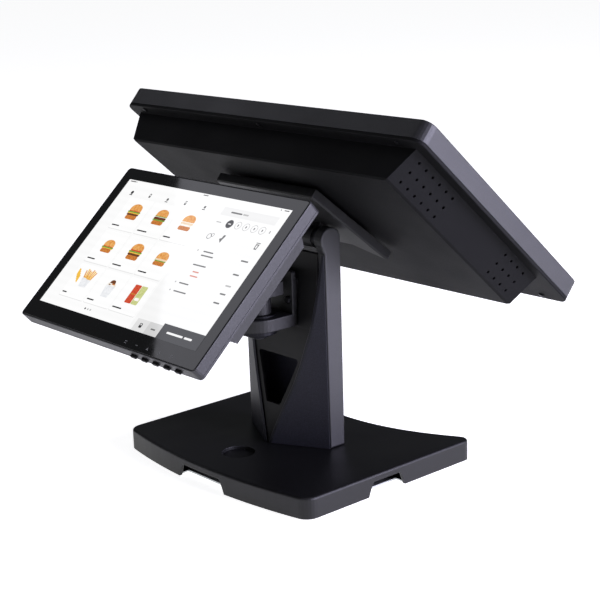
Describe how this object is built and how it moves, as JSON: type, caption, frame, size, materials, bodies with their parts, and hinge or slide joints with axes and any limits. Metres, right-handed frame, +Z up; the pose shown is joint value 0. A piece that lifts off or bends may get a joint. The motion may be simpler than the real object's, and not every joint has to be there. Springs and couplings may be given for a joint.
{
  "type": "pos touchscreen terminal",
  "caption": "Countertop point-of-sale terminal: tilting operator touchscreen and smaller tilting, swivelling customer screen on a hollow column with a weighted base.",
  "frame": {"origin": "middle of the whole outline, on the table under the feet", "axes": "+Z up; the operator sits on the -Y side and the customer on the +Y side; X runs across the screens"},
  "size_m": [0.3986, 0.3814, 0.3377],
  "materials": {
    "textured_black": "fine textured black powder coat",
    "grey_black": "satin grey-black paint",
    "moulded_black": "fine textured black moulding",
    "cover_glass": "gloss glass with a black border",
    "display_panel": "flat display panel",
    "circuit_board": "green solder mask",
    "zinc_steel": "zinc-plated steel",
    "bare_steel": "plain steel",
    "black_screw": "blackened steel",
    "rubber_foot": "moulded rubber"
  },
  "bodies": {
    "stand": {"base_cover": "textured_black", "base_plate": "zinc_steel", "base_screw_1": "zinc_steel", "base_screw_2": "zinc_steel", "base_screw_3": "zinc_steel", "base_screw_4": "zinc_steel", "base_weight": "bare_steel", "bracket_screw_left": "zinc_steel", "bracket_screw_right": "zinc_steel", "column_cheek_left": "grey_black", "column_cheek_right": "grey_black", "column_core": "zinc_steel", "column_fairing_left": "grey_black", "column_fairing_right": "grey_black", "column_front_panel": "moulded_black", "column_rear_cover": "textured_black", "foot_1": "rubber_foot", "foot_2": "rubber_foot", "foot_3": "rubber_foot", "foot_4": "rubber_foot", "friction_washer_left": "zinc_steel", "friction_washer_right": "zinc_steel", "pole_hole_plug": "moulded_black", "hinge_axle": "bare_steel", "customer_bracket": "grey_black"},
    "operator_unit": {"tilt_bracket": "grey_black", "housing_screw_1": "black_screw", "housing_screw_2": "black_screw", "housing_screw_3": "black_screw", "housing_screw_4": "black_screw", "housing_screw_5": "black_screw", "plate_screw_1": "black_screw", "plate_screw_2": "black_screw", "plate_screw_3": "black_screw", "plate_screw_4": "black_screw", "speaker_left": "moulded_black", "speaker_right": "moulded_black", "rear_housing": "textured_black", "main_frame": "textured_black", "touch_glass": "cover_glass", "main_display_panel": "display_panel", "main_board": "circuit_board", "port_panel": "zinc_steel"},
    "power_key": {"power_button": "moulded_black"},
    "swivel_arm": {"swivel_shaft": "grey_black", "swivel_washer": "bare_steel", "swivel_nut": "black_screw", "customer_arm": "grey_black", "customer_hinge_pin": "bare_steel"},
    "customer_unit": {"customer_hinge_plate": "grey_black", "customer_rear_cover": "textured_black", "customer_frame": "textured_black", "customer_glass": "cover_glass", "customer_display_panel": "display_panel", "customer_board": "circuit_board"},
    "customer_key_1": {"customer_button_1": "moulded_black"},
    "customer_key_2": {"customer_button_2": "moulded_black"},
    "customer_key_3": {"customer_button_3": "moulded_black"},
    "customer_key_4": {"customer_button_4": "moulded_black"},
    "customer_key_5": {"customer_button_5": "moulded_black"}
  },
  "joints": [
    {"name": "main_tilt", "type": "hinge", "parent": "stand", "child": "operator_unit", "pos_m": [0, -0.02085, 0.217], "axis": [1, 0, 0], "range_deg": [-8, 43]},
    {"name": "customer_swivel", "type": "hinge", "parent": "stand", "child": "swivel_arm", "pos_m": [0, 0.02005, 0.1403], "axis": [0, 0, 1], "range_deg": [-15, 15]},
    {"name": "customer_tilt", "type": "hinge", "parent": "swivel_arm", "child": "customer_unit", "pos_m": [0, 0.10065, 0.1872], "axis": [-1, 0, 0], "range_deg": [-12, 35]},
    {"name": "power_press", "type": "slide", "parent": "operator_unit", "child": "power_key", "axis": [0, 0.749, 0.6626], "range_m": [0, 0.0008], "stiffness_N_per_m": 800, "springref_m": -0.0004},
    {"name": "customer_key_1_press", "type": "slide", "parent": "customer_unit", "child": "customer_key_1", "axis": [0, -0.742, 0.6704], "range_m": [0, 0.001], "stiffness_N_per_m": 400, "springref_m": -0.0004},
    {"name": "customer_key_2_press", "type": "slide", "parent": "customer_unit", "child": "customer_key_2", "axis": [0, -0.742, 0.6704], "range_m": [0, 0.001], "stiffness_N_per_m": 400, "springref_m": -0.0004},
    {"name": "customer_key_3_press", "type": "slide", "parent": "customer_unit", "child": "customer_key_3", "axis": [0, -0.742, 0.6704], "range_m": [0, 0.001], "stiffness_N_per_m": 400, "springref_m": -0.0004},
    {"name": "customer_key_4_press", "type": "slide", "parent": "customer_unit", "child": "customer_key_4", "axis": [0, -0.742, 0.6704], "range_m": [0, 0.001], "stiffness_N_per_m": 400, "springref_m": -0.0004},
    {"name": "customer_key_5_press", "type": "slide", "parent": "customer_unit", "child": "customer_key_5", "axis": [0, -0.742, 0.6704], "range_m": [0, 0.001], "stiffness_N_per_m": 400, "springref_m": -0.0004}
  ]
}
